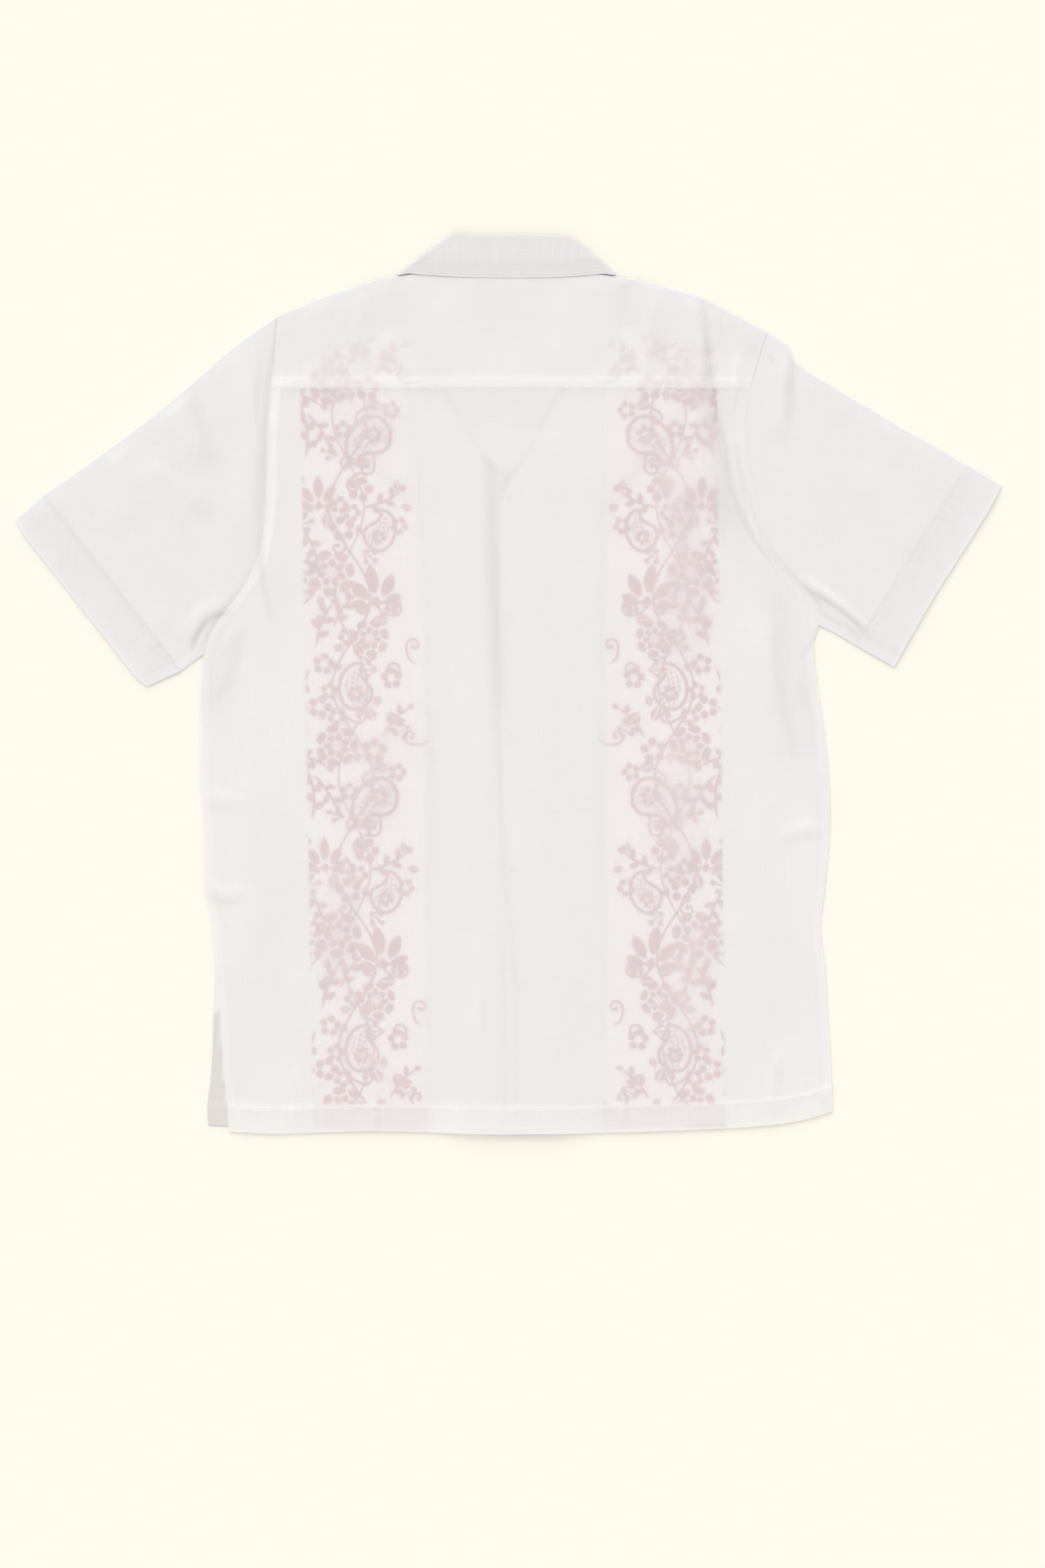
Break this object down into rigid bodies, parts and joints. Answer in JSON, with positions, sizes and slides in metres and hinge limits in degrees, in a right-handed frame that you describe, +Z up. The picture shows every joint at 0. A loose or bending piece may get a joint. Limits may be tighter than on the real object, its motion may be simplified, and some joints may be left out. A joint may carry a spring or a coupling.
{
  "type": "lace shirt",
  "caption": "Sheer white short-sleeved shirt with a camp collar and rose embroidered front bands, laid flat with its back up.",
  "frame": {"origin": "middle of the shirt's box on the surface that it lies on", "axes": "+Z up out of the surface, +Y towards the collar, +X towards the wearer's right sleeve; the back faces +Z"},
  "size_m": [0.845, 0.7713, 0.0079],
  "materials": {
    "sheer_cotton": "matte sheer cotton voile",
    "collar_cotton": "matte doubled cotton",
    "embroidered_band": "matte cotton with rose embroidery",
    "shell_button": "satin shell",
    "label_cotton": "matte woven cotton, blank"
  },
  "bodies": {
    "root": {"back_panel": "sheer_cotton", "yoke": "sheer_cotton", "front_side_left": "sheer_cotton", "front_side_right": "sheer_cotton", "lace_band_left": "embroidered_band", "lace_band_right": "embroidered_band", "front_centre_left": "sheer_cotton", "front_centre_right": "sheer_cotton", "sleeve_left": "sheer_cotton", "sleeve_right": "sheer_cotton", "collar": "collar_cotton", "button_1": "shell_button", "button_2": "shell_button", "button_3": "shell_button", "button_4": "shell_button", "button_5": "shell_button", "neck_label": "label_cotton"}
  },
  "joints": []
}
